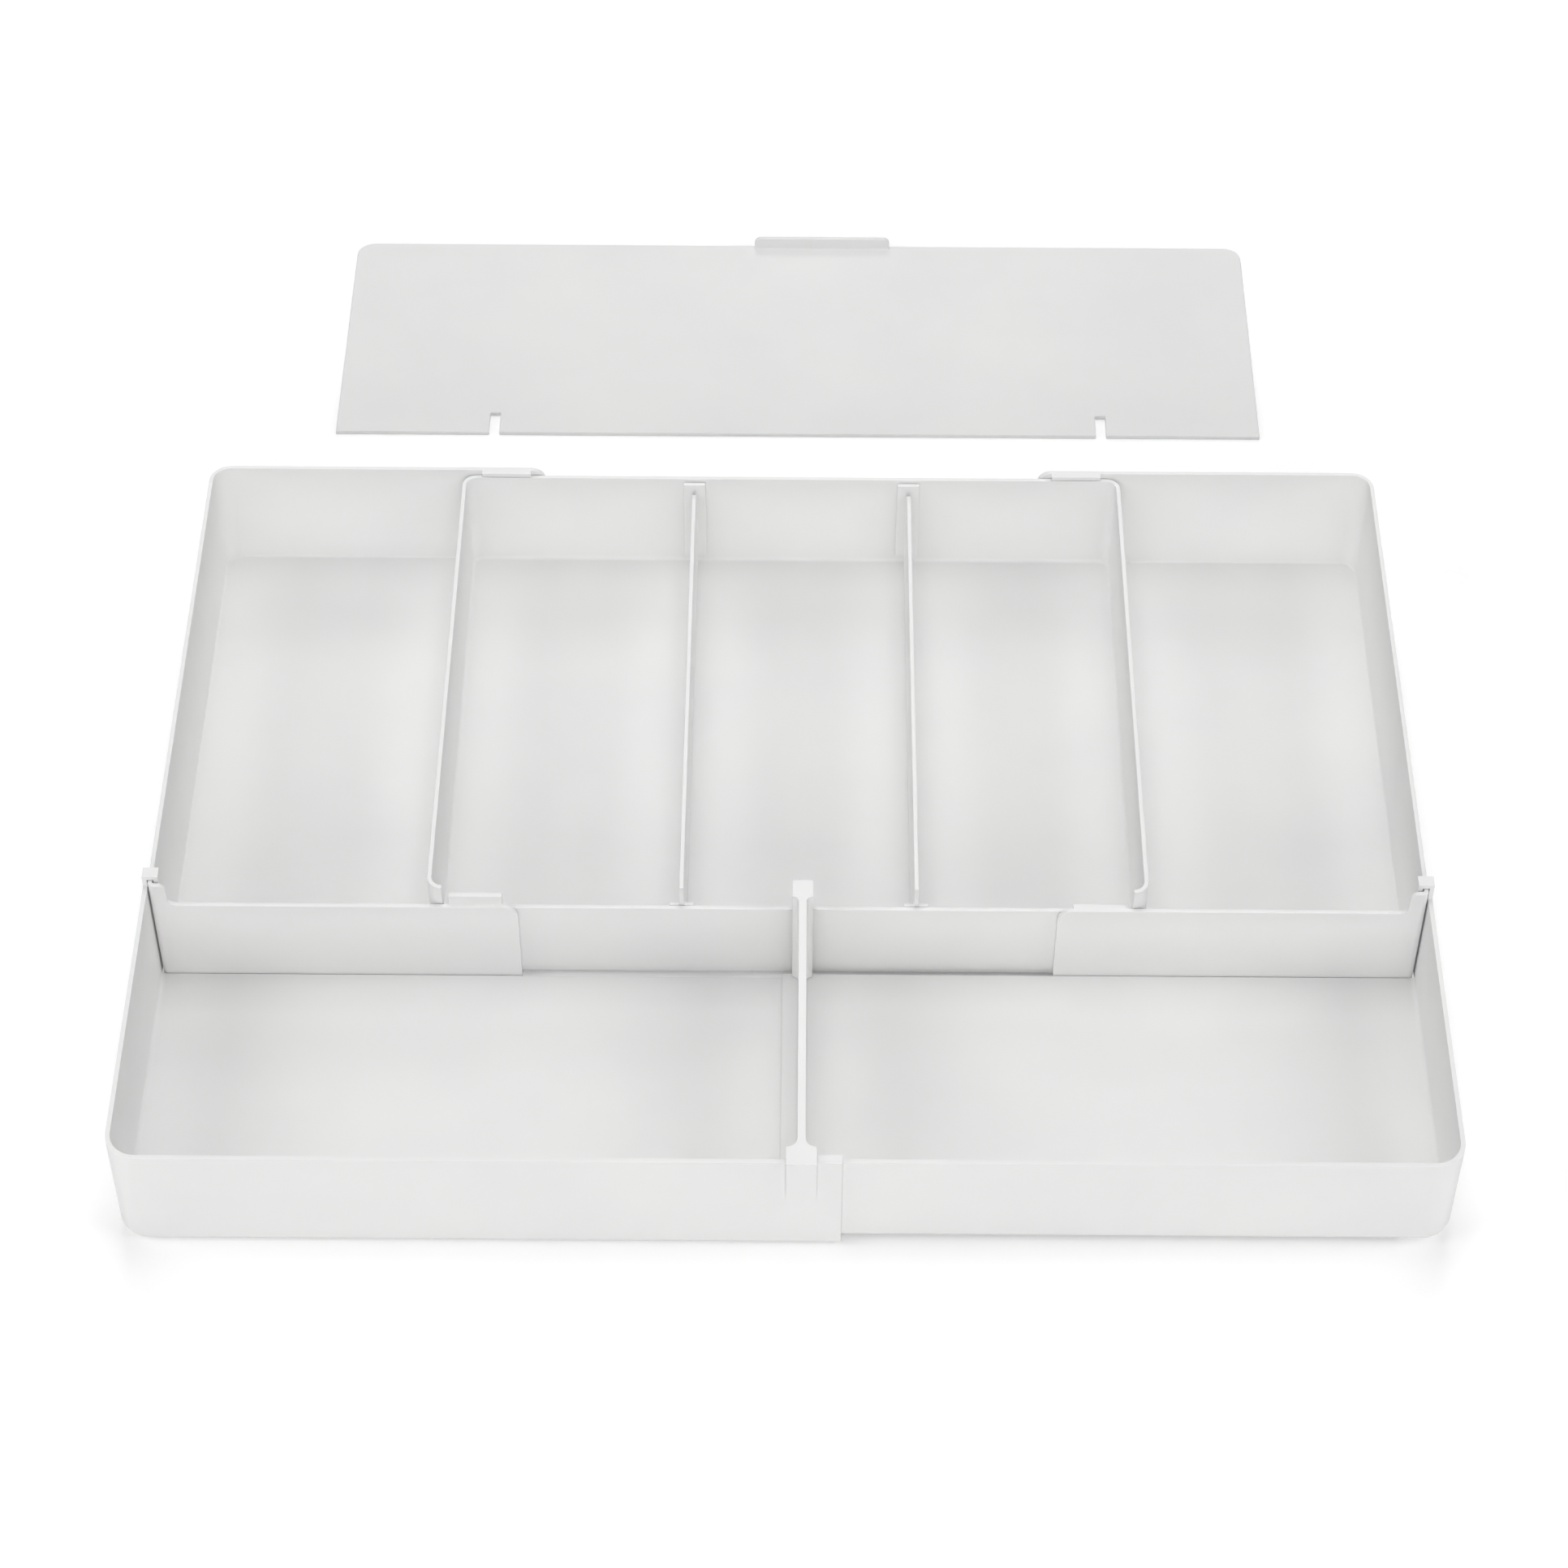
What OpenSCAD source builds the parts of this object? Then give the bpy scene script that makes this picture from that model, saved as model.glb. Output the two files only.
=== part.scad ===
// Adjustable drawer organizer.
// A middle tray is held between two side trays, which slide out from under it to the left and right.
// Two front trays hook onto the side trays and telescope into each other, so the whole width changes.
// A clip divider joins the front walls to the middle wall, two loose dividers split the middle tray,
// and a flat cover panel lies behind the trays.
// +X is the width, +Y runs from front to back, and Z = 0 is the surface that it all stands on.

/* [Moulding] */
// Thickness of every upright wall
wall = 1.8; // [1.4:0.1:2.4]
// Thickness of every tray floor
floor_t = 1.8; // [1.4:0.1:2.4]
// Running gap between pieces that slide on each other
gap = 0.4; // [0.3:0.05:0.6]
// Thickness of the lips that hold a nested tray down
lip_t = 2.1; // [1.5:0.1:3]
// Radius of the two arcs where a high rim falls to a low one
step_r = 3.5; // [2:0.25:5]

/* [Middle tray] */
// Length of the middle tray, over its end walls
middle_len = 282.8; // [240:0.2:330]
// Corner radius of the middle tray
middle_corner_r = 6; // [3:0.5:12]
// Flat length on top of each raised front corner
corner_flat = 1; // [0.5:0.5:6]

/* [Side trays] */
// Length of each side tray along the width
side_len = 144; // [115:1:180]
// Depth of the side trays, front to back
back_depth = 238; // [180:1:320]
// Height of the side trays' outer and back walls
rim_h = 55; // [50:0.5:70]
// Height of the side trays' lower front wall
mid_rim_h = 43.5; // [32:0.5:46]
// Length of the lips over the middle tray's rims
lip_len = 21; // [10:1:34]
// Height of the catch on the left front lip, above its wall
catch_h = 4.5; // [1:0.5:6]
// Rounding of the upper inner corners of their front and back walls
end_r = 6; // [2:0.5:10]
// Flat length of front wall at full height beside each outer corner
shoulder_flat = 1; // [0.5:0.5:20]
// Radius of the outer back corners
back_corner_r = 9; // [5:0.5:16]
// Radius of the outer front corners, under the hooks
front_corner_r = 2.5; // [2.5:0.5:8]

/* [Front trays] */
// Depth of the front row, from its front face to the side trays
front_depth = 129; // [80:1:180]
// Height of the left front tray's rim
front_rim_h = 52; // [46:0.5:60]
// Radius of the front row's outer corners
front_row_r = 12; // [6:0.5:18]
// How far the left front tray reaches past the middle
left_reach = 21; // [5:1:60]
// How far the right front tray reaches past the middle, inside the left one
right_reach = 2; // [0:1:60]
// Length of the lip at the end of the left front wall
front_lip_len = 9; // [5:0.5:20]
// Length of each hook along the side tray's rim
hook_len = 5; // [4:0.5:14]
// How far each hook hangs down inside the side tray
hook_drop = 10; // [6:0.5:16]
// Length of the foot under the raised right front tray
foot_len = 20; // [19:1:60]

/* [Clip divider] */
// Thickness of the clip divider's plate
plate_t = 3; // [2:0.1:4]
// Width of its front clip
front_clip_w = 11.4; // [8:0.2:18]
// Width of its rear clip
rear_clip_w = 8; // [6:0.2:14]
// Height of the tab outside the front wall
tab_h = 22.6; // [12:0.2:34]
// Height of the leg behind the middle wall
leg_h = 19; // [12:0.5:34]

/* [Loose dividers] */
// Thickness of each loose divider
divider_t = 1.8; // [1.4:0.1:3]
// How far their tops lie below the middle tray's end walls
divider_drop = 1.5; // [0.5:0.1:6]
// Width of the flat flanges at their ends
flange_w = 9.5; // [8:0.5:24]
// Rounding of their lower corners
heel_r = 4.5; // [2:0.5:10]
// Rounding of their upper back corners, in front of the back flange
crown_r = 13; // [4:0.5:20]
// Place of the left divider, left of the middle
left_divider_x = 41.7; // [30:0.1:90]
// Place of the right divider, right of the middle
right_divider_x = 50.5; // [30:0.1:90]

/* [Cover panel] */
// Length of the cover panel
panel_len = 420; // [320:1:480]
// Depth of the cover panel
panel_depth = 131; // [90:1:160]
// Thickness of the cover panel
panel_t = 2; // [1.6:0.1:3]
// Radius of its two far corners
panel_corner_r = 8; // [3:0.5:20]
// Clear distance between the trays and the panel
panel_gap = 79; // [20:1:120]
// How far the panel lies right of the middle
panel_shift = 2.5; // [-20:0.5:20]
// Distance between its two slots
slot_pitch = 276; // [200:0.2:300]
// Width of each slot
slot_w = 4.6; // [3:0.1:8]
// Length of each slot
slot_len = 13; // [6:0.5:24]
// Length of the finger lip
grip_len = 64; // [40:1:100]
// Height of the finger lip
grip_h = 7.8; // [5:0.2:14]
// How far the finger lip lies right of the panel's middle
grip_shift = 11; // [-40:0.2:40]
// Rounding of the finger lip's upper corners
grip_r = 3; // [1:0.5:4]

/* [Hidden] */
arc_steps = 10;
// A cut runs this far past the faces that it opens
past = 1;

// Heights
lift = floor_t + gap;
rise = rim_h - mid_rim_h;
step_arc = min(step_r, rise / 2);
nest_drop = lip_t + gap;
middle_rim_h = rim_h - nest_drop;
middle_front_h = mid_rim_h - nest_drop;
right_rim_h = front_rim_h - nest_drop;
nested_floor_top = lift + floor_t;
hook_top = rim_h + gap + wall;
clip_top = front_rim_h + gap + wall;

// Places along the width, at full stretch: each lip rests against a raised corner of the middle tray
corner_len = corner_flat + 2 * step_arc;
shoulder_len = front_corner_r + shoulder_flat;
lip_end = middle_len / 2 - corner_len - gap;
side_in = lip_end - lip_len - end_r;
lip_start = side_in + end_r;
side_out = side_in + side_len;
front_out = side_out + gap + wall;
hook_in = side_out - 2 * wall - gap;
clip_x = left_reach - front_lip_len - gap - front_clip_w / 2;

// Places along the depth, from the front face of the left front wall
nested = wall + gap;
mid_y = front_depth;
back_y = mid_y + back_depth;
front_floor_end = mid_y - gap;
hook_y = mid_y + front_corner_r + gap;
hook_end = hook_y + hook_len;
middle_front_in = mid_y + nested + wall;
middle_back_in = back_y - nested - wall;
front_slot_end = 2 * nested;
rear_slot_end = middle_front_in + gap;
tab_face = -nested;
panel_near = back_y + panel_gap;
panel_far = panel_near + panel_depth;
origin_y = (tab_face + panel_far) / 2;

white = [0.93, 0.93, 0.92];

// Points along a circular arc, from one angle to another
function arc(x, y, r, start, end) = [
    for (i = [0 : arc_steps])
        let (a = start + (end - start) * i / arc_steps)
            [x + r * cos(a), y + r * sin(a)]
];

// A list of points in the opposite order, mirrored left to right
function mirrored(points) = [for (i = [len(points) - 1 : -1 : 0]) [-points[i].x, points[i].y]];

// Moves the whole organizer so that the origin lies under the middle of its outline
module placed() translate([0, -origin_y, 0]) children();

// Pushes a flat outline drawn in X and Z through the depth, from y_from to y_to
module through(y_from, y_to)
    translate([0, y_to, 0]) rotate([90, 0, 0]) linear_extrude(y_to - y_from) children();

// A box between two opposite corners
module box(low, high) translate(low) cube(high - low);

// What is cut off a wall whose rim falls from high to low in two smooth arcs, left of x_step
module rim_step(x_from, x_step, low, high) polygon(concat(
    [[x_from, low]],
    arc(x_step, low + step_arc, step_arc, -90, 0),
    arc(x_step + 2 * step_arc, high - step_arc, step_arc, 180, 90),
    [[x_step + 2 * step_arc, high + past], [x_from, high + past]]
));

// Middle tray: four walls and a floor, with a lower front wall between two raised corners
function middle_outline(inset) = let (
    r = middle_corner_r - inset,
    x = middle_len / 2 - middle_corner_r,
    y_front = mid_y + nested + middle_corner_r,
    y_back = back_y - nested - middle_corner_r
) concat(
    arc(x, y_front, r, -90, 0), arc(x, y_back, r, 0, 90),
    arc(-x, y_back, r, 90, 180), arc(-x, y_front, r, 180, 270)
);

module middle_tray() color(white) difference() {
    translate([0, 0, lift]) linear_extrude(middle_rim_h - lift) polygon(middle_outline(0));
    translate([0, 0, nested_floor_top]) linear_extrude(middle_rim_h) polygon(middle_outline(wall));
    for (side = [0, 1]) mirror([side, 0, 0])
        through(mid_y, middle_front_in + past)
            rim_step(-past, middle_len / 2 - corner_len, middle_front_h, middle_rim_h);
}

// What is cut off the upper inner corner of a side tray's wall, to round it
module wall_end(top) polygon(concat(
    [[side_in - past, top - end_r]],
    arc(side_in + end_r, top - end_r, end_r, 180, 90),
    [[side_in + end_r, top + past], [side_in - past, top + past]]
));

// Side tray, drawn for the right: three walls and a floor, open towards the middle.
// A lip near the open end of its front and back walls reaches over the middle tray's rims.
function side_outline(inset, x_from) = concat(
    [[x_from, mid_y + inset]],
    arc(side_out - front_corner_r, mid_y + front_corner_r, front_corner_r - inset, -90, 0),
    arc(side_out - back_corner_r, back_y - back_corner_r, back_corner_r - inset, 0, 90),
    [[x_from, back_y - inset]]
);

module side_tray() {
    difference() {
        linear_extrude(rim_h) polygon(side_outline(0, side_in));
        translate([0, 0, floor_t]) linear_extrude(rim_h) polygon(side_outline(wall, side_in - past));
        through(mid_y - past, mid_y + wall + past)
            rim_step(side_in - past, side_out - shoulder_len - 2 * step_arc, mid_rim_h, rim_h);
        through(mid_y - past, mid_y + wall + past) wall_end(mid_rim_h);
        through(back_y - wall - past, back_y + past) wall_end(rim_h);
    }
    box([lip_start, mid_y, mid_rim_h - lip_t], [lip_end, middle_front_in, mid_rim_h]);
    box([lip_start, middle_back_in, rim_h - lip_t], [lip_end, back_y, rim_h]);
}

// The left side tray's front lip carries a catch, which stands up behind its wall
module left_side_tray() color(white) mirror([1, 0, 0]) {
    side_tray();
    box([lip_start, mid_y + wall, mid_rim_h - lip_t], [lip_end, middle_front_in, mid_rim_h + catch_h]);
}

module right_side_tray() color(white) side_tray();

// Front tray, drawn for the right: a front wall, a side wall that ends in a hook, and a floor
module front_tray(reach, y_front, z_low, rim) {
    x = front_out - front_row_r;
    y = y_front + front_row_r;
    translate([0, 0, z_low]) linear_extrude(floor_t) polygon(concat(
        [[-reach, y_front]], arc(x, y, front_row_r, -90, 0),
        [[front_out, front_floor_end], [-reach, front_floor_end]]
    ));
    translate([0, 0, z_low]) linear_extrude(rim - z_low) polygon(concat(
        [[-reach, y_front]], arc(x, y, front_row_r, -90, 0),
        [[front_out, hook_end], [front_out - wall, hook_end]],
        arc(x, y, front_row_r - wall, 0, -90), [[-reach, y_front + wall]]
    ));
    box([front_out - wall, hook_y, z_low], [front_out, hook_end, hook_top]);
    box([hook_in, hook_y, hook_top - wall], [front_out, hook_end, hook_top]);
    box([hook_in, hook_y, hook_top - hook_drop], [hook_in + wall, hook_end, hook_top]);
}

// The left front tray is the outer one, and its front wall ends in a lip over the right one's rim
module front_left_tray() color(white) mirror([1, 0, 0]) {
    front_tray(left_reach, 0, 0, front_rim_h);
    box([-left_reach, 0, front_rim_h - lip_t], [front_lip_len - left_reach, nested + wall, front_rim_h]);
}

// The right front tray lies on the left one's floor, so a foot at its outer end makes up the height
module front_right_tray() color(white) {
    front_tray(right_reach, nested, lift, right_rim_h);
    linear_extrude(nested_floor_top) polygon(concat(
        [[front_out - foot_len, nested]],
        arc(front_out - front_row_r, nested + front_row_r, front_row_r, -90, 0),
        [[front_out, front_floor_end], [front_out - foot_len, front_floor_end]]
    ));
}

// Clip divider: a plate that flares into a clip at each end, each with a slot for the walls that it straddles
function clip_half_outline() = let (
    half = plate_t / 2,
    front_half = front_clip_w / 2,
    rear_half = rear_clip_w / 2,
    front_end = front_slot_end + wall,
    rear_start = front_floor_end - wall
) concat(
    [[front_half, tab_face]],
    arc(front_half, front_end + front_half - half, front_half - half, -90, -180),
    arc(rear_half, rear_start - rear_half + half, rear_half - half, 180, 90),
    [[rear_half, rear_slot_end + wall]]
);

module clip_divider() color(white) translate([clip_x, 0, 0]) difference() {
    wide = max(front_clip_w, rear_clip_w) / 2 + past;
    bottom = nested_floor_top + gap;
    translate([0, 0, bottom]) linear_extrude(clip_top - bottom)
        polygon(concat(clip_half_outline(), mirrored(clip_half_outline())));
    box([-wide, -gap, 0], [wide, front_slot_end, front_rim_h + gap]);
    box([-wide, tab_face - past, 0], [wide, 0, clip_top - tab_h]);
    box([-wide, front_floor_end, 0], [wide, rear_slot_end, mid_rim_h + gap]);
    box([-wide, middle_front_in, 0], [wide, rear_slot_end + wall + past, clip_top - leg_h]);
}

// Loose divider: a thin plate with a flat flange at each end. Its lower corners and its upper
// back corner are rounded, and the back flange stands up past the rounding.
module loose_divider(x) translate([x, 0, 0]) {
    front = middle_front_in + gap;
    back = middle_back_in - gap;
    bottom = nested_floor_top + gap;
    top = middle_rim_h - divider_drop;
    front_top = middle_front_h - gap;
    half = flange_w / 2;
    translate([-divider_t / 2, 0, 0]) rotate([90, 0, 90]) linear_extrude(divider_t) polygon(concat(
        arc(front + heel_r, bottom + heel_r, heel_r, 180, 270),
        arc(back - heel_r, bottom + heel_r, heel_r, -90, 0),
        arc(back - crown_r, top - crown_r, crown_r, 0, 90),
        [[front, top]]
    ));
    box([-half, front, bottom + heel_r], [half, front + wall, front_top]);
    box([-half, back - wall, bottom + heel_r], [half, back, top]);
}

module left_divider() color(white) loose_divider(-left_divider_x);

module right_divider() color(white) loose_divider(right_divider_x);

// Cover panel: a flat sheet with two slots in its near edge and an upright finger lip on its far edge
module cover_panel() color(white) translate([panel_shift, 0, 0]) {
    x = panel_len / 2;
    difference() {
        linear_extrude(panel_t) polygon(concat(
            [[-x, panel_near], [x, panel_near]],
            arc(x - panel_corner_r, panel_far - panel_corner_r, panel_corner_r, 0, 90),
            arc(panel_corner_r - x, panel_far - panel_corner_r, panel_corner_r, 90, 180)
        ));
        for (slot_x = [-slot_pitch / 2, slot_pitch / 2]) translate([slot_x, 0, 0])
            box([-slot_w / 2, panel_near - past, -past], [slot_w / 2, panel_near + slot_len, panel_t + past]);
    }
    translate([grip_shift, 0, 0]) through(panel_far - panel_t, panel_far) polygon(concat(
        [[-grip_len / 2, 0], [grip_len / 2, 0]],
        arc(grip_len / 2 - grip_r, grip_h - grip_r, grip_r, 0, 90),
        arc(grip_r - grip_len / 2, grip_h - grip_r, grip_r, 90, 180)
    ));
}

placed() middle_tray();
placed() left_side_tray();
placed() right_side_tray();
placed() front_left_tray();
placed() front_right_tray();
placed() clip_divider();
placed() left_divider();
placed() right_divider();
placed() cover_panel();
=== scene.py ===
# %% [markdown]
# # An expanding drawer organizer, modelled as a set of moulded trays
# The real thing is a set of shallow white trays. A middle tray stands still and a wing tray nests
# round each of its ends, so the set grows wider when the wings are pulled out. A row of two front
# trays hooks over the wings, thin dividers drop into the trays, and a flat cover panel lies behind.
#
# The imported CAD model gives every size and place, so the lesson starts by loading it as a fixed
# frame. Each piece is then modelled again with the mesh tools that a modeller uses by hand, because
# CAD solids like these have knife-sharp edges, no fillet where a floor meets a wall, and no finish.

# %% Load the frame and keep the CAD model's box
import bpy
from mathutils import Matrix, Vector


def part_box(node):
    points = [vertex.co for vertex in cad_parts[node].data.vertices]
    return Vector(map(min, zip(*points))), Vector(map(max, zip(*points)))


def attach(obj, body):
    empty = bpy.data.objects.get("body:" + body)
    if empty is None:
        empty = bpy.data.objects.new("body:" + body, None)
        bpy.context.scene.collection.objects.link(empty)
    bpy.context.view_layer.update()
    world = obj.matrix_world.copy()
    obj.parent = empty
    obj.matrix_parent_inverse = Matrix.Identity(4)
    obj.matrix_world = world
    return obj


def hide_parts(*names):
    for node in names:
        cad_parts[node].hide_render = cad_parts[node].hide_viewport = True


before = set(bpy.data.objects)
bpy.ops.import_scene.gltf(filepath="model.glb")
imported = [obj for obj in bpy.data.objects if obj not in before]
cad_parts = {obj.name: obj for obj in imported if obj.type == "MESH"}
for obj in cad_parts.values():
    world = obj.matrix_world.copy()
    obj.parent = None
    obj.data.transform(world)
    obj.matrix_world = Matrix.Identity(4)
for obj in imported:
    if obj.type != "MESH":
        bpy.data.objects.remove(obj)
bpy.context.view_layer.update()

# %% [markdown]
# ## The camera
# The picture is taken from in front and well above, with a long lens that keeps the trays' sides
# almost parallel. A camera could be aimed by eye, but a place, a pitch and a lens that are written
# down can be corrected one at a time. A Blender camera looks down its own -Z axis, so pitching it
# up from straight down by 90 degrees minus the downward angle aims it at the trays.

# %% Camera
import math
import bpy
from mathutils import Matrix, Vector

CAMERA_PLACE = (0.00348, -1.13545, 1.20824)
CAMERA_DOWN = 48.15
CAMERA_TURN = 0.296
CAMERA_ROLL = 0.161
CAMERA_LENS_MM = 89.0
SENSOR_MM = 36

scene = bpy.context.scene
camera_data = bpy.data.cameras.new("studio_camera")
camera_data.lens = CAMERA_LENS_MM
camera_data.sensor_width = SENSOR_MM
camera = bpy.data.objects.new("studio_camera", camera_data)
aim = Matrix.Rotation(math.radians(CAMERA_TURN), 4, "Z")
aim = aim @ Matrix.Rotation(math.radians(90 - CAMERA_DOWN), 4, "X")
aim = aim @ Matrix.Rotation(math.radians(CAMERA_ROLL), 4, "Z")
camera.matrix_world = Matrix.Translation(CAMERA_PLACE) @ aim
scene.collection.objects.link(camera)
scene.camera = camera
print("camera looks down by", CAMERA_DOWN, "degrees through a", CAMERA_LENS_MM, "mm lens")

# %% [markdown]
# ## Colours and nodes
# A colour picked in a paint program is an sRGB value, while Blender's shaders work in linear light.
# One function turns the familiar hex values to linear, so no colour is typed twice. A second small
# function adds a node: plain values go on its sockets, and another node's output is linked.

# %% Helpers for colours and nodes
MM = 0.001


def linear(hex_colour):
    """An sRGB hex value as linear red, green, blue and full alpha"""
    channels = [int(hex_colour[at:at + 2], 16) / 255 for at in (1, 3, 5)]
    curved = [c / 12.92 if c <= 0.04045 else ((c + 0.055) / 1.055) ** 2.4 for c in channels]
    return (*curved, 1.0)


def add_node(tree, kind, inputs=None, **settings):
    """Adds one node, sets its own settings, and sets or links its inputs"""
    made = tree.nodes.new(kind)
    for name, value in settings.items():
        setattr(made, name, value)
    for name, value in (inputs or {}).items():
        if isinstance(value, bpy.types.NodeSocket):
            tree.links.new(value, made.inputs[name])
        else:
            made.inputs[name].default_value = value
    return made


print("middle grey in linear light:", [round(c, 3) for c in linear("#808080")])

# %% [markdown]
# ## The plastic
# The trays are polypropylene, injection-moulded in a tool whose faces were roughened by spark
# erosion. That gives the eye a clean neutral white with a soft, wide highlight and a very fine
# pebble grain, and faint broad clouds where the melt flowed and cooled unevenly. The grain of such
# a tool is about 0.2 mm, which is finer than a pixel here, so it is drawn as coarse as it needs to
# show. Dividers come from a smoother tool, and the cover panel is flatter and a little satin.
#
# A colour alone would look like paper. Noise on Object coordinates is tied to the piece's own
# millimetres, so the grain keeps its size on every piece and moves with it.

# %% Finishes of the moulded plastic
POLYPROPYLENE_IOR = 1.49
CLOUD_MM = 70
SCUFF_MM = 9
NOISE_LOW = 0.3
NOISE_HIGH = 0.7
ROUGHNESS_SPREAD = 0.05
GRAIN_STRENGTH = 0.5


def moulded_polypropylene(name, light, shade, grain_mm, grain_deep_mm, roughness):
    """White polypropylene with a pebble grain of a given width and depth"""
    material = bpy.data.materials.new(name)
    material.use_nodes = True
    tree = material.node_tree
    tree.nodes.clear()
    place = add_node(tree, "ShaderNodeTexCoord").outputs["Object"]
    cloud = add_node(
        tree, "ShaderNodeTexNoise", {"Vector": place, "Scale": 1 / (CLOUD_MM * MM), "Detail": 2.0}
    )
    tint = add_node(tree, "ShaderNodeValToRGB", {"Fac": cloud.outputs["Fac"]})
    tint.color_ramp.elements[0].position = NOISE_LOW
    tint.color_ramp.elements[0].color = linear(shade)
    tint.color_ramp.elements[1].position = NOISE_HIGH
    tint.color_ramp.elements[1].color = linear(light)
    scuff = add_node(
        tree, "ShaderNodeTexNoise", {"Vector": place, "Scale": 1 / (SCUFF_MM * MM), "Detail": 4.0}
    )
    rough = add_node(
        tree, "ShaderNodeMapRange",
        {"Value": scuff.outputs["Fac"], "From Min": NOISE_LOW, "From Max": NOISE_HIGH,
         "To Min": roughness - ROUGHNESS_SPREAD, "To Max": roughness + ROUGHNESS_SPREAD},
    )
    grain = add_node(
        tree, "ShaderNodeTexNoise", {"Vector": place, "Scale": 1 / (grain_mm * MM), "Detail": 2.0}
    )
    pebble = add_node(
        tree, "ShaderNodeBump",
        {"Height": grain.outputs["Fac"], "Strength": GRAIN_STRENGTH,
         "Distance": grain_deep_mm * MM},
    )
    surface = add_node(
        tree, "ShaderNodeBsdfPrincipled",
        {"Base Color": tint.outputs["Color"], "Roughness": rough.outputs["Result"],
         "Normal": pebble.outputs["Normal"], "IOR": POLYPROPYLENE_IOR},
    )
    add_node(tree, "ShaderNodeOutputMaterial", {"Surface": surface.outputs["BSDF"]})
    print("finish:", name)
    return material


# Real grain is about 0.2 mm; it is drawn 1.2 to 1.6 mm wide so that it shows at this distance.
# The trays give the eye a dull, even white with a broad and soft highlight.
tray_plastic = moulded_polypropylene(
    "polypropylene_moulded_spark_textured", "#F0F0EF", "#ECECEC",
    grain_mm=1.6, grain_deep_mm=0.05, roughness=0.5,
)
# The dividers are the same white, a little shinier, so that their rims catch the light.
divider_plastic = moulded_polypropylene(
    "polypropylene_moulded_smooth", "#F0F0EF", "#ECECEC",
    grain_mm=1.2, grain_deep_mm=0.03, roughness=0.42,
)
# The panel is a shade greyer, with a faint satin sheen.
panel_plastic = moulded_polypropylene(
    "polypropylene_moulded_satin_sheet", "#E8E8E7", "#E4E4E4",
    grain_mm=1.4, grain_deep_mm=0.04, roughness=0.46,
)

# %% [markdown]
# ## Tools for shaping a tray
# A moulded tray is a block with its corners rounded, hollowed out from above. By hand that is a cube,
# a bevel, an inset of the top face and an extrude downwards, and those four operators do it here too.
# Bevel gives arcs for any edge, convex or concave, so the fillet where a floor meets a wall is the
# same tool as the round of an outer corner. Open sides come from slicing the finished tray, which
# also leaves a clean end on every wall.

# %% Helpers that pick and shape parts of a mesh
import bmesh

NEAR = 0.01 * MM
ARC_STEPS = 6
FLAT_ANGLE = 1
ANYWHERE = (-9, 9)


def block(low, high):
    """A closed box between two corners"""
    low, high = Vector(low), Vector(high)
    bm = bmesh.new()
    bmesh.ops.create_cube(bm, size=1)
    bmesh.ops.scale(bm, vec=high - low, verts=bm.verts)
    bmesh.ops.translate(bm, vec=(low + high) / 2, verts=bm.verts)
    return bm


def lies(point, x=None, y=None, z=None):
    """Tells whether a point has the coordinates that are given"""
    pairs = zip(point, (x, y, z))
    return all(want is None or abs(have - want) < NEAR for have, want in pairs)


def edges_at(bm, **place):
    """The edges with both ends at the given coordinates"""
    return [edge for edge in bm.edges if all(lies(vert.co, **place) for vert in edge.verts)]


def faces_at(bm, x=ANYWHERE, y=ANYWHERE, z=ANYWHERE, **plane):
    """The faces with their middle between the limits, in a plane given as at_x, at_y or at_z"""
    place = {name[-1]: value for name, value in plane.items()}
    chosen = []
    for face in bm.faces:
        middle = face.calc_center_median()
        inside = all(low < value < high for value, (low, high) in zip(middle, (x, y, z)))
        if inside and all(lies(vert.co, **place) for vert in face.verts):
            chosen.append(face)
    return chosen


def round_off(bm, edges, radius, steps=ARC_STEPS):
    """Bevels some edges to an arc"""
    bmesh.ops.bevel(
        bm, geom=list(edges), offset=radius, offset_type="OFFSET", affect="EDGES",
        segments=steps, profile=0.5, material=-1, clamp_overlap=True,
    )


def with_borders(faces):
    """Some faces together with their edges and corners"""
    patch = set(faces)
    for face in faces:
        patch.update(face.edges)
        patch.update(face.verts)
    return list(patch)


def push(bm, faces, move):
    """Extrudes a patch of faces by a vector and gives the moved faces back"""
    made = bmesh.ops.extrude_face_region(bm, geom=with_borders(faces))["geom"]
    verts = [item for item in made if isinstance(item, bmesh.types.BMVert)]
    bmesh.ops.translate(bm, vec=Vector(move), verts=verts)
    return [item for item in made if isinstance(item, bmesh.types.BMFace)]


def score(bm, faces, point, normal):
    """Cuts a line across some faces and leaves both sides in place"""
    bmesh.ops.bisect_plane(
        bm, geom=with_borders(faces), dist=NEAR / 10, plane_co=point, plane_no=normal
    )


def slice_off(bm, point, normal):
    """Cuts away all that lies past a plane and closes the cut"""
    whole = bm.verts[:] + bm.edges[:] + bm.faces[:]
    cut = bmesh.ops.bisect_plane(
        bm, geom=whole, dist=NEAR / 10, plane_co=point, plane_no=normal, clear_outer=True
    )["geom_cut"]
    rim = [item for item in cut if isinstance(item, bmesh.types.BMEdge)]
    bmesh.ops.edgeloop_fill(bm, edges=rim)


def hollow(bm, wall, floor_top):
    """Insets the top face and pushes it down to the floor, which is given back"""
    top = max(bm.faces, key=lambda face: face.calc_center_median().z)
    depth = top.calc_center_median().z - floor_top
    bmesh.ops.inset_individual(bm, faces=[top], thickness=wall, use_even_offset=True)
    return push(bm, [top], (0, 0, -depth))[0]


def merge_flat(bm):
    """Joins the faces that lie in one plane"""
    limit = math.radians(FLAT_ANGLE)
    bmesh.ops.dissolve_limit(bm, angle_limit=limit, verts=bm.verts, edges=bm.edges)


print("shaping tools ready")

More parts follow.
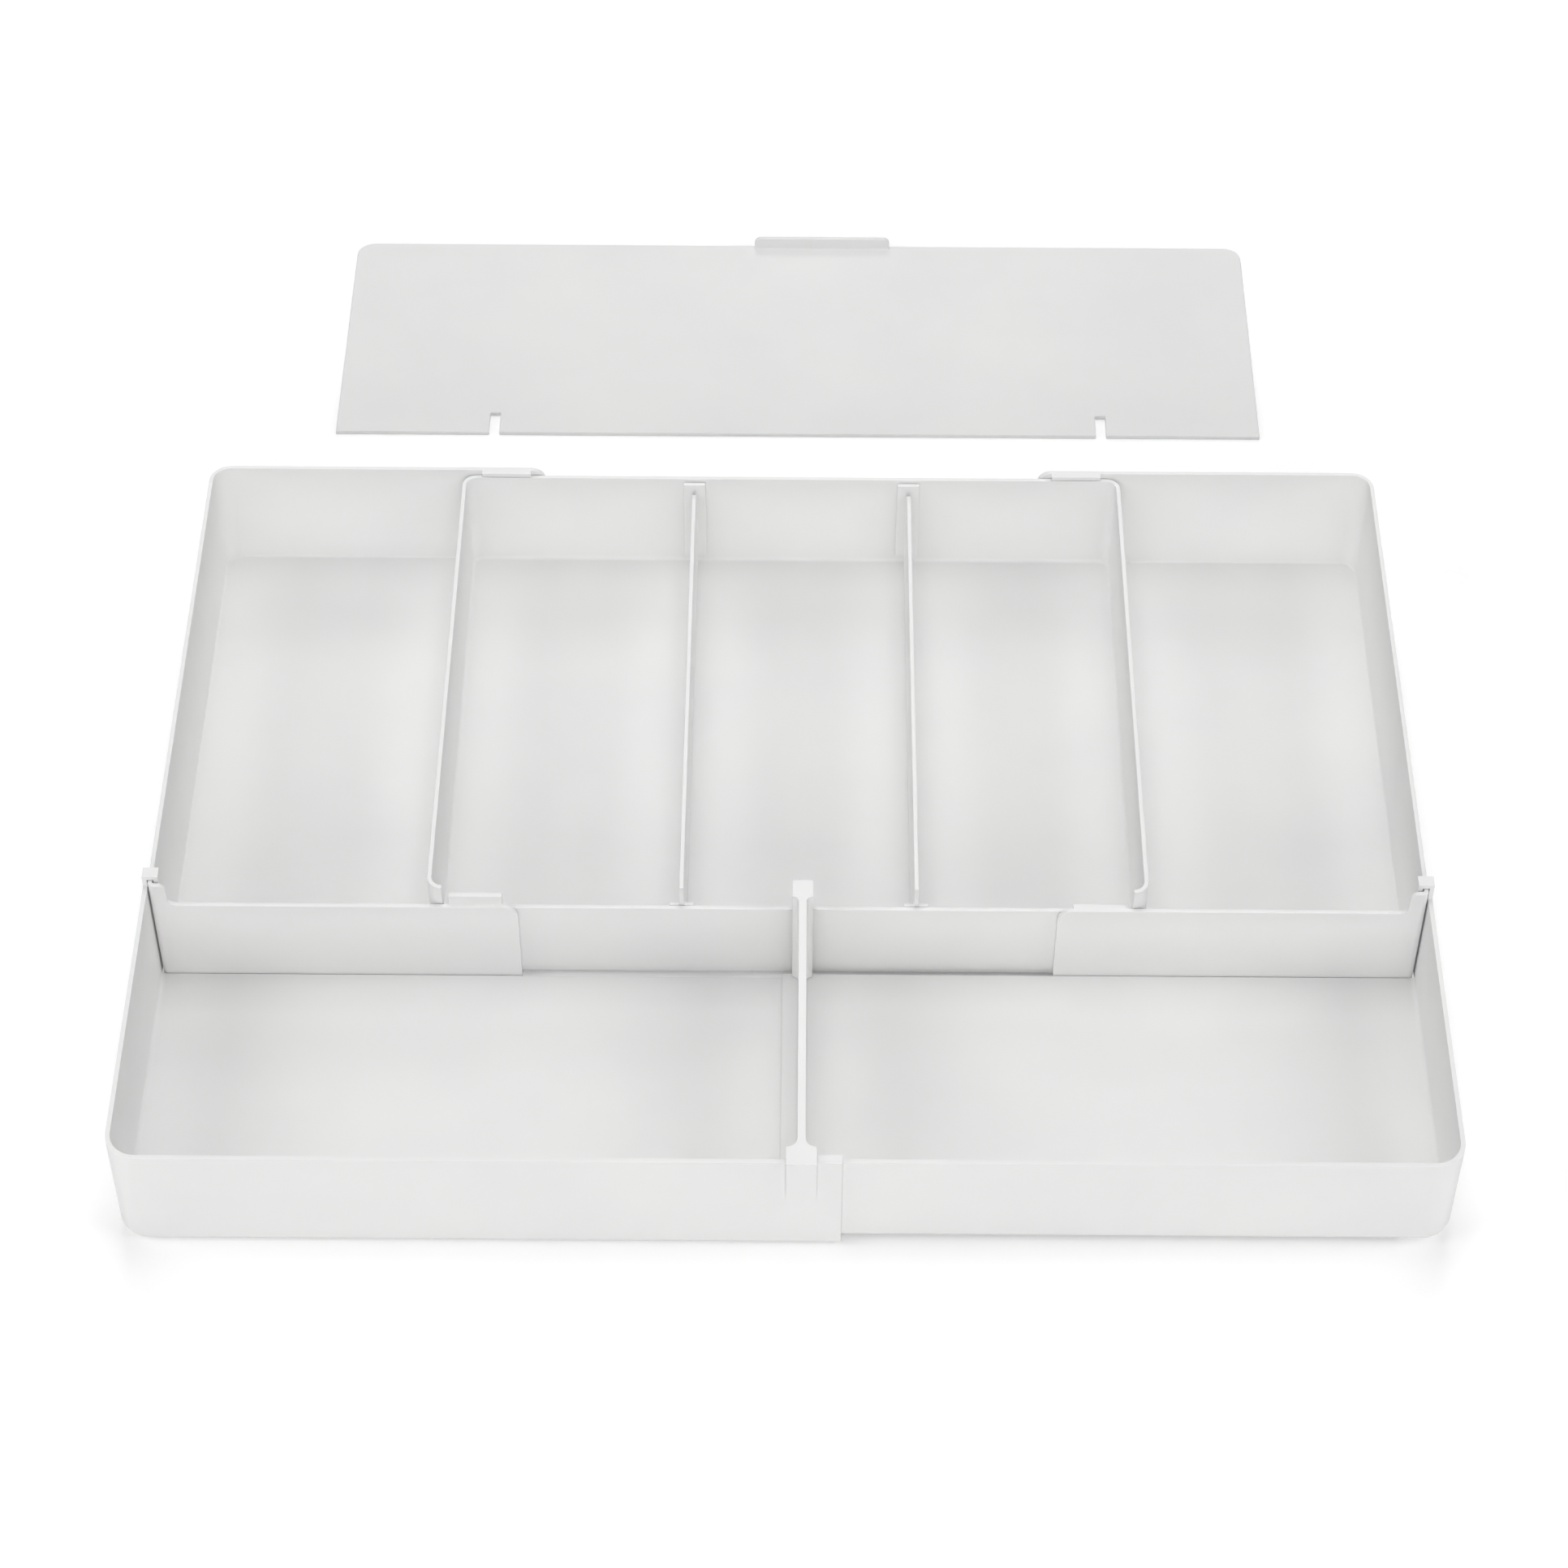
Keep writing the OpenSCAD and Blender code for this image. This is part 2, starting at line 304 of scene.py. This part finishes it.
# %% [markdown]
# ## Finishing a piece
# No moulded edge is knife-sharp: the tool leaves a small round of some tenths of a millimetre, and that
# round is what catches the light along every rim. A Bevel modifier limited by angle adds it to all
# the sharp edges at once, and weighted normals keep the broad faces looking flat. Each piece then
# takes the place of its CAD solid and rides on the same body.

# %% Helper that makes a mesh into a finished piece
SHARP_ANGLE = 38
EDGE_STEPS = 3


def finish_piece(bm, node, body, material, edge_round):
    """Makes an object of a mesh, rounds its edges, and puts it in a CAD node's place"""
    bmesh.ops.recalc_face_normals(bm, faces=bm.faces)
    loose = sum(not edge.is_manifold for edge in bm.edges)
    name = node + "_moulding"
    mesh = bpy.data.meshes.new(name)
    bm.to_mesh(mesh)
    bm.free()
    mesh.shade_smooth()
    mesh.materials.append(material)
    piece = bpy.data.objects.new(name, mesh)
    scene.collection.objects.link(piece)
    bevel = piece.modifiers.new("moulded_edges", "BEVEL")
    bevel.width = edge_round
    bevel.segments = EDGE_STEPS
    bevel.limit_method = "ANGLE"
    bevel.angle_limit = math.radians(SHARP_ANGLE)
    flat = piece.modifiers.new("flat_faces", "WEIGHTED_NORMAL")
    flat.keep_sharp = False
    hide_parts(node)
    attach(piece, body)
    print(name, "has", len(mesh.polygons), "faces and", loose, "open edges")


# %% [markdown]
# ## The middle tray
# The middle tray is the fixed one: a rectangle with round corners, whose front wall is lower than the
# other three so that the wings' lips can pass over it. It could be drawn at its full height and cut
# down in front, but growing is easier than cutting. The block starts at the low front's height, and
# the rim of the other three walls is then extruded upwards.

# %% Middle tray
WALL = 1.8 * MM
FLOOR = 1.8 * MM
RISE = 11.5 * MM
MIDDLE_CORNER = 6 * MM
MIDDLE_FILLET = 1.5 * MM
UNDER_ROUND = 0.5 * MM
RIM_ROUND = 0.3 * MM
LEDGE_ROUND = 1.8 * MM


def corners(bm, low, high, radius):
    """Rounds the four upright edges of a box"""
    for x in (low.x, high.x):
        for y in (low.y, high.y):
            round_off(bm, edges_at(bm, x=x, y=y), radius)


middle_low, middle_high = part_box("middle_tray")
middle_front_top = middle_high.z - RISE
middle = block(middle_low, (middle_high.x, middle_high.y, middle_front_top))
corners(middle, middle_low, middle_high, MIDDLE_CORNER)
middle_floor = hollow(middle, WALL, middle_low.z + FLOOR)
round_off(middle, middle_floor.edges, MIDDLE_FILLET)
round_off(middle, edges_at(middle, z=middle_low.z), UNDER_ROUND)

straight = middle_high.x - MIDDLE_CORNER
front_strip = (middle_low.y, middle_low.y + WALL)
low_rim = faces_at(middle, x=(-straight, straight), y=front_strip, at_z=middle_front_top)
high_rim = [face for face in faces_at(middle, at_z=middle_front_top) if face not in low_rim]
push(middle, high_rim, (0, 0, RISE))
merge_flat(middle)
for side in (-straight, straight):
    round_off(middle, edges_at(middle, x=side, z=middle_front_top), LEDGE_ROUND)
finish_piece(middle, "middle_tray", "middle", tray_plastic, RIM_ROUND)

# %% [markdown]
# ## The wing trays
# Each wing is a tray with one end left open, a little larger than the middle tray so that the middle
# tray's end slides inside it. A short lip on its front wall and one on its back wall reach over the
# middle tray's rim and keep the two together. Both wings come from one function, drawn on the right,
# and a negative scale turns a copy to the left; its normals are recalculated when it is finished.
#
# The front wall is low and rises in a soft S at the outer corner. Extruding the high part of the rim
# leaves a square step, and bevelling its lower and its upper edge makes the S.

# %% Wing trays
GAP = 0.4 * MM
NEST = WALL + GAP
SPARE = 20 * MM
WING_FRONT_TOP = 43.5 * MM
WING_FRONT_CORNER = 2.5 * MM
WING_BACK_CORNER = 9 * MM
WING_FILLET = 1.5 * MM
SHOULDER_FLAT = 1 * MM
WALL_END_ROUND = 6 * MM
LIP_LONG = 21 * MM
LIP_THICK = 2.1 * MM
CATCH_TALL = 4.5 * MM
STEP_ARC = 3.5 * MM
STEP_STEPS = 8


def lip(bm, wall_y, inward, x, top):
    """Grows a lip from a wall's inner face, between two X places and below the rim's top"""
    for place in x:
        score(bm, faces_at(bm, at_y=wall_y), (place, 0, 0), (1, 0, 0))
    strip = faces_at(bm, x=x, at_y=wall_y)
    score(bm, strip, (0, 0, top - LIP_THICK), (0, 0, 1))
    patch = faces_at(bm, x=x, z=(top - LIP_THICK, top), at_y=wall_y)
    push(bm, patch, (0, inward * NEST, 0))


def wing_tray(low, high, with_catch):
    """A wing tray in the right-hand place, open at its inner end"""
    bm = block((low.x - SPARE, low.y, low.z), (high.x, high.y, WING_FRONT_TOP))
    round_off(bm, edges_at(bm, x=high.x, y=low.y), WING_FRONT_CORNER)
    round_off(bm, edges_at(bm, x=high.x, y=high.y), WING_BACK_CORNER)
    floor = hollow(bm, WALL, low.z + FLOOR)
    round_off(bm, floor.edges, WING_FILLET)
    round_off(bm, edges_at(bm, z=low.z), UNDER_ROUND)

    step = high.x - WING_FRONT_CORNER - SHOULDER_FLAT - STEP_ARC
    front = (low.y, low.y + WALL)
    score(bm, faces_at(bm, y=front, at_z=WING_FRONT_TOP), (step, 0, 0), (1, 0, 0))
    low_part = faces_at(bm, x=(low.x - SPARE, step), y=front, at_z=WING_FRONT_TOP)
    high_part = [face for face in faces_at(bm, at_z=WING_FRONT_TOP) if face not in low_part]
    push(bm, high_part, (0, 0, high.z - WING_FRONT_TOP))
    merge_flat(bm)
    step_edges = edges_at(bm, x=step, z=WING_FRONT_TOP) + edges_at(bm, x=step, z=high.z)
    round_off(bm, step_edges, STEP_ARC, STEP_STEPS)

    slice_off(bm, (low.x, 0, 0), (-1, 0, 0))
    wall_ends = edges_at(bm, x=low.x, z=WING_FRONT_TOP) + edges_at(bm, x=low.x, z=high.z)
    round_off(bm, wall_ends, WALL_END_ROUND, STEP_STEPS)

    lip_x = (low.x + WALL_END_ROUND, low.x + WALL_END_ROUND + LIP_LONG)
    lip(bm, low.y + WALL, 1, lip_x, WING_FRONT_TOP)
    lip(bm, high.y - WALL, -1, lip_x, high.z)
    if with_catch:
        on_lip = (low.y + WALL, low.y + WALL + NEST)
        push(bm, faces_at(bm, x=lip_x, y=on_lip, at_z=WING_FRONT_TOP), (0, 0, CATCH_TALL))
    return bm


def turned_left(bm):
    """Mirrors a right-hand mesh to the left"""
    bmesh.ops.scale(bm, vec=(-1, 1, 1), verts=bm.verts)
    return bm


wing_low, wing_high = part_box("right_side_tray")
right_wing = wing_tray(wing_low, wing_high, False)
finish_piece(right_wing, "right_side_tray", "right_side", tray_plastic, RIM_ROUND)
left_wing = turned_left(wing_tray(wing_low, wing_high, True))
finish_piece(left_wing, "left_side_tray", "left_side", tray_plastic, RIM_ROUND)

# %% [markdown]
# ## The front trays
# The front row is two trays that nest in each other at the middle, so the row can widen with the
# wings. Each is open at its inner end and at the back, and its side wall runs on past the floor to a
# hook that hangs over the wing's wall. The hook grows from the end of the wall by one extrusion after
# another, the way it would be pulled out by hand: back, up, over the wing's wall, and down again.

# %% Front trays
FRONT_CORNER = 12 * MM
FRONT_FILLET = 2 * MM
FRONT_UNDER_ROUND = FRONT_FILLET + WALL
FRONT_LEFT_TOP = 52 * MM
HOOK_LONG = 5 * MM
HOOK_DROP = 10 * MM
FRONT_LIP_LONG = 9 * MM
FOOT_LONG = 20 * MM
END_ROUND = 1.4 * MM

front_left_low, front_left_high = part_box("front_left_tray")
front_right_low, front_right_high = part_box("front_right_tray")
front_out = front_right_high.x
hook_end = front_right_high.y
hook_top = front_right_high.z
floor_end = middle_low.y - NEST - GAP


def front_tray(inner_x, front_y, floor_z, rim_top):
    """A front tray in the right-hand place, with its side wall's hook"""
    bm = block((inner_x - SPARE, front_y, floor_z), (front_out, floor_end + SPARE, rim_top))
    round_off(bm, edges_at(bm, x=front_out, y=front_y), FRONT_CORNER, 2 * ARC_STEPS)
    floor = hollow(bm, WALL, floor_z + FLOOR)
    round_off(bm, floor.edges, FRONT_FILLET)
    round_off(bm, edges_at(bm, z=floor_z), FRONT_UNDER_ROUND)
    slice_off(bm, (inner_x, 0, 0), (-1, 0, 0))
    slice_off(bm, (0, floor_end, 0), (0, 1, 0))
    round_off(bm, edges_at(bm, x=inner_x, y=front_y), END_ROUND)

    inside = front_out - WALL
    score(bm, faces_at(bm, at_y=floor_end), (inside, 0, 0), (1, 0, 0))
    wall_end = faces_at(bm, x=(inside, front_out), at_y=floor_end)
    hook_start = hook_end - HOOK_LONG
    wall_end = push(bm, wall_end, (0, hook_start - floor_end, 0))
    push(bm, wall_end, (0, HOOK_LONG, 0))
    hook_y = (hook_start, hook_end)
    bridge_low = hook_top - WALL
    ear = faces_at(bm, x=(inside, front_out), y=hook_y, at_z=rim_top)
    ear = push(bm, ear, (0, 0, bridge_low - rim_top))
    push(bm, ear, (0, 0, WALL))
    bridge = faces_at(bm, y=hook_y, z=(bridge_low, hook_top), at_x=inside)
    bridge = push(bm, bridge, (-NEST - GAP, 0, 0))
    push(bm, bridge, (-WALL, 0, 0))
    leg_x = (inside - NEST - GAP - WALL, inside - NEST - GAP)
    push(bm, faces_at(bm, x=leg_x, y=hook_y, at_z=bridge_low), (0, 0, WALL - HOOK_DROP))
    return bm


front_left = front_tray(-front_left_high.x, front_left_low.y, front_left_low.z, FRONT_LEFT_TOP)
lip(
    front_left, front_left_low.y + WALL, 1,
    (-front_left_high.x, -front_left_high.x + FRONT_LIP_LONG), FRONT_LEFT_TOP,
)
finish_piece(
    turned_left(front_left), "front_left_tray", "left_side", tray_plastic, RIM_ROUND
)

nested_z = front_right_low.z + NEST
front_right = front_tray(
    front_right_low.x, front_right_low.y, nested_z, FRONT_LEFT_TOP - LIP_THICK - GAP
)
foot_x = front_right_high.x - FOOT_LONG
score(front_right, faces_at(front_right, at_z=nested_z), (foot_x, 0, 0), (1, 0, 0))
foot = faces_at(front_right, x=(foot_x, front_out), at_z=nested_z)
push(front_right, foot, (0, 0, -NEST))
finish_piece(
    front_right, "front_right_tray", "right_side", tray_plastic, RIM_ROUND
)

# %% [markdown]
# ## The clip-on divider
# The short divider between the front trays has a clip at each end: a slot that drops over a wall,
# with a tab on the far side. It starts as a plain plate. A bar across each end and a fillet between
# them make the plate flare, and the clip is pulled out of the bar's top: over the wall, then down.

# %% Clip-on divider
PLATE_THICK = 3 * MM
FRONT_CLIP_WIDE = 11.4 * MM
REAR_CLIP_WIDE = 8 * MM
FRONT_SLOT_TOP = 52.4 * MM
REAR_SLOT_TOP = 43.9 * MM
CLIP_SLOT = 4.8 * MM
TAB_TALL = 22.6 * MM
LEG_TALL = 19 * MM
CLIP_ROUND = 0.7 * MM
FOLD_MARGIN = 0.2 * MM

clip_low, clip_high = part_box("clip_divider")
clip_x = (clip_low.x + clip_high.x) / 2
plate_from = clip_low.y + 2 * WALL + CLIP_SLOT
plate_to = clip_high.y - 2 * WALL - CLIP_SLOT
half = PLATE_THICK / 2
clip = block((clip_x - half, plate_from, clip_low.z), (clip_x + half, plate_to, clip_high.z))


def clip_end(bm, end_y, outward, wide, slot_top, tab_tall):
    """Grows a flared bar and a clip from one end of the plate"""
    push(bm, faces_at(bm, at_y=end_y), (0, outward * WALL, 0))
    bar_y = sorted((end_y, end_y + outward * WALL))
    spread = (wide - PLATE_THICK) / 2
    for side in (-1, 1):
        flank = faces_at(bm, y=bar_y, at_x=clip_x + side * half)
        push(bm, flank, (side * spread, 0, 0))
    bar_face = end_y + outward * WALL
    score(bm, faces_at(bm, at_y=bar_face), (0, 0, slot_top), (0, 0, 1))
    head = faces_at(bm, z=(slot_top, clip_high.z), at_y=bar_face)
    head = push(bm, head, (0, outward * CLIP_SLOT, 0))
    push(bm, head, (0, outward * WALL, 0))
    tab_face = bar_face + outward * CLIP_SLOT
    tab_y = sorted((tab_face, tab_face + outward * WALL))
    drop = tab_tall - (clip_high.z - slot_top)
    push(bm, faces_at(bm, y=tab_y, at_z=slot_top), (0, 0, -drop))
    for side in (-1, 1):
        fold = edges_at(bm, x=clip_x + side * half, y=end_y)
        round_off(bm, fold, spread - FOLD_MARGIN)


clip_end(clip, plate_from, -1, FRONT_CLIP_WIDE, FRONT_SLOT_TOP, TAB_TALL)
clip_end(clip, plate_to, 1, REAR_CLIP_WIDE, REAR_SLOT_TOP, LEG_TALL)
finish_piece(clip, "clip_divider", "clip", divider_plastic, CLIP_ROUND)

# %% [markdown]
# ## The two loose dividers
# The dividers in the middle tray are thin plates that stand across it, each with a flange at both
# ends that keeps it upright against the tray's front and back walls. A flange could be a second box,
# but growing it out of the plate keeps one clean skin. The lower corners are rounded to clear the
# fillet at the tray's floor, and the upper back corner is rounded off so that fingers can pull it out.
#
# The back flange stands up past that rounding. Its arc-shaped top is extruded and then scaled flat to
# the full height, the same as pressing S, Z and 0 with the new top selected.

# %% Loose dividers
DIVIDER_THICK = 1.8 * MM
HEEL_ROUND = 4.5 * MM
CROWN_ROUND = 13 * MM
FLANGE_FRONT_TOP = middle_front_top - GAP
DIVIDER_ROUND = 0.3 * MM


def loose_divider(low, high):
    """A thin plate with a flange at each end"""
    x = (low.x + high.x) / 2
    half = DIVIDER_THICK / 2
    reach = (high.x - low.x) / 2 - half
    bottom = low.z + HEEL_ROUND
    bm = block((x - half, low.y, low.z), (x + half, high.y, high.z))
    round_off(bm, edges_at(bm, y=low.y, z=low.z) + edges_at(bm, y=high.y, z=low.z), HEEL_ROUND)
    round_off(bm, edges_at(bm, y=high.y, z=high.z), CROWN_ROUND, STEP_STEPS)

    front_end = (low.y, low.y + WALL)
    back_end = (high.y - WALL, high.y)
    for y in (front_end[1], back_end[0]):
        score(bm, bm.faces, (0, y, 0), (0, 1, 0))
    for side in (-1, 1):
        face_x = x + side * half
        for end, top in ((front_end, FLANGE_FRONT_TOP), (back_end, high.z)):
            for z in (bottom, top):
                score(bm, faces_at(bm, y=end, at_x=face_x), (0, 0, z), (0, 0, 1))
            flange = faces_at(bm, y=end, z=(bottom, top), at_x=face_x)
            push(bm, flange, (side * reach, 0, 0))

    arc_top = faces_at(bm, y=back_end, z=(high.z - CROWN_ROUND, high.z))
    flange_top = push(bm, arc_top, (0, 0, 0))
    to_level = Matrix.Translation((0, 0, -high.z))
    rising = list({vert for face in flange_top for vert in face.verts})
    bmesh.ops.scale(bm, vec=(1, 1, 0), space=to_level, verts=rising)
    merge_flat(bm)
    return bm


for side in ("left", "right"):
    node = side + "_divider"
    finish_piece(
        loose_divider(*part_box(node)), node, side + "_split", divider_plastic,
        DIVIDER_ROUND,
    )

# %% [markdown]
# ## The cover panel
# The flat panel has two short slots in its near edge, rounded far corners, and a low finger lip that
# stands up from its far edge. It starts as one flat face: scored lines mark out the slots and the lip,
# the slots are deleted, and one extrusion gives the whole sheet its thickness.

# %% Cover panel
PANEL_THICK = 2 * MM
PANEL_CORNER = 8 * MM
SLOT_PITCH = 276 * MM
SLOT_WIDE = 4.6 * MM
SLOT_LONG = 13 * MM
GRIP_LONG = 64 * MM
GRIP_SHIFT = 11 * MM
GRIP_ROUND = 3 * MM
PANEL_ROUND = 0.4 * MM

panel_low, panel_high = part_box("cover_panel")
panel_x = (panel_low.x + panel_high.x) / 2
panel = bmesh.new()
bmesh.ops.create_grid(panel, x_segments=1, y_segments=1, size=0.5)
panel_size = panel_high - panel_low
bmesh.ops.scale(panel, vec=(panel_size.x, panel_size.y, 1), verts=panel.verts)
panel_middle = (panel_x, (panel_low.y + panel_high.y) / 2, panel_low.z)
bmesh.ops.translate(panel, vec=panel_middle, verts=panel.verts)

far_corners = [vert for vert in panel.verts if lies(vert.co, y=panel_high.y)]
bmesh.ops.bevel(
    panel, geom=far_corners, offset=PANEL_CORNER, offset_type="OFFSET", affect="VERTICES",
    segments=ARC_STEPS, profile=0.5, material=-1,
)
slot_end = panel_low.y + SLOT_LONG
for side in (-1, 1):
    middle_x = panel_x + side * SLOT_PITCH / 2
    slot_x = (middle_x - SLOT_WIDE / 2, middle_x + SLOT_WIDE / 2)
    for x in slot_x:
        score(panel, panel.faces, (x, 0, 0), (1, 0, 0))
    score(panel, faces_at(panel, x=slot_x), (0, slot_end, 0), (0, 1, 0))
    opening = faces_at(panel, x=slot_x, y=(panel_low.y, slot_end))
    bmesh.ops.delete(panel, geom=opening, context="FACES")

grip_x = (panel_x + GRIP_SHIFT - GRIP_LONG / 2, panel_x + GRIP_SHIFT + GRIP_LONG / 2)
grip_y = panel_high.y - PANEL_THICK
for x in grip_x:
    score(panel, panel.faces, (x, 0, 0), (1, 0, 0))
score(panel, faces_at(panel, x=grip_x), (0, grip_y, 0), (0, 1, 0))
push(panel, panel.faces[:], (0, 0, PANEL_THICK))
panel_top = panel_low.z + PANEL_THICK
grip = faces_at(panel, x=grip_x, y=(grip_y, panel_high.y), at_z=panel_top)
push(panel, grip, (0, 0, panel_high.z - panel_top))
for x in grip_x:
    round_off(panel, edges_at(panel, x=x, z=panel_high.z), GRIP_ROUND)
finish_piece(panel, "cover_panel", "cover", panel_plastic, PANEL_ROUND)

# %% [markdown]
# ## Floor and light
# The set stands on white paper in soft studio light, with only a thin shadow where plastic meets the
# paper. A plain white world would fill the trays so evenly that floor and wall become one grey. Broad
# square lamps do it better: the ones behind and overhead light the floors, the ones in front light the
# walls that face the camera, and a pair at the sides opens up the corners. The walls keep the lamp
# behind off the floor just in front of them, and that soft band makes the trays look deep.
# Studio paper comes out pure white because the photographer lights it on its own. Here a Light Path
# node gives it a faint glow that only the camera sees, so the glow doesn't light the trays as well.

# %% Floor
FLOOR_SIZE = 8
PAPER_DROP = 0.05 * MM
PAPER_GLOW = 0.15

floor_mesh = bpy.data.meshes.new("studio_floor")
sweep = bmesh.new()
bmesh.ops.create_grid(sweep, x_segments=1, y_segments=1, size=FLOOR_SIZE / 2)
sweep.to_mesh(floor_mesh)
sweep.free()
floor_object = bpy.data.objects.new("studio_floor", floor_mesh)
floor_object.location.z = -PAPER_DROP
scene.collection.objects.link(floor_object)
paper = bpy.data.materials.new("studio_paper")
paper.use_nodes = True
paper_surface = paper.node_tree.nodes["Principled BSDF"]
paper_surface.inputs["Base Color"].default_value = linear("#FCFCFC")
paper_surface.inputs["Roughness"].default_value = 0.9
paper_surface.inputs["Specular IOR Level"].default_value = 0.1
paper_surface.inputs["Emission Color"].default_value = linear("#FFFFFF")
to_camera = add_node(paper.node_tree, "ShaderNodeLightPath").outputs["Is Camera Ray"]
glow = add_node(paper.node_tree, "ShaderNodeMapRange", {"Value": to_camera, "To Max": PAPER_GLOW})
paper.node_tree.links.new(glow.outputs["Result"], paper_surface.inputs["Emission Strength"])
floor_mesh.materials.append(paper)
print("floor is", FLOOR_SIZE, "m across")

# %% [markdown]
# Lamps alone would leave the world black wherever the paper ends. The world therefore shows white to
# the camera, through a Light Path node, and gives the pieces only a trace of light.

# %% Light
BACKDROP = 1.0
AMBIENT = 0.04
LAMPS = {
    "overhead_lamp": ((0.0, 0.35, 1.9), 0.8, 7.6),
    "front_lamp": ((0.0, -7.0, 2.4), 3.0, 182),
    "high_front_lamp": ((0.0, -4.0, 4.0), 2.5, 29),
    "back_lamp": ((0.0, 2.6, 3.4), 2.5, 32),
    "low_back_lamp": ((0.0, 3.4, 2.4), 2.5, 28),
    "left_lamp": ((-2.2, -0.6, 1.8), 1.6, 26),
    "right_lamp": ((2.2, -0.6, 1.8), 1.6, 25),
}

scene.view_settings.view_transform = "Standard"
world = bpy.data.worlds.new("studio_world")
world.use_nodes = True
sky = world.node_tree
sky.nodes.clear()
seen = add_node(sky, "ShaderNodeLightPath").outputs["Is Camera Ray"]
strength = add_node(
    sky, "ShaderNodeMapRange", {"Value": seen, "To Min": AMBIENT, "To Max": BACKDROP}
)
white = add_node(
    sky, "ShaderNodeBackground",
    {"Color": linear("#FFFFFF"), "Strength": strength.outputs["Result"]},
)
add_node(sky, "ShaderNodeOutputWorld", {"Surface": white.outputs["Background"]})
scene.world = world

for name, (place, size, watts) in LAMPS.items():
    lamp_data = bpy.data.lights.new(name, "AREA")
    lamp_data.size = size
    lamp_data.energy = watts
    lamp = bpy.data.objects.new(name, lamp_data)
    lamp.location = place
    lamp.rotation_euler = (-Vector(place)).to_track_quat("-Z", "Y").to_euler()
    scene.collection.objects.link(lamp)
    print(name, "gives", watts, "W from a square of", size, "m")
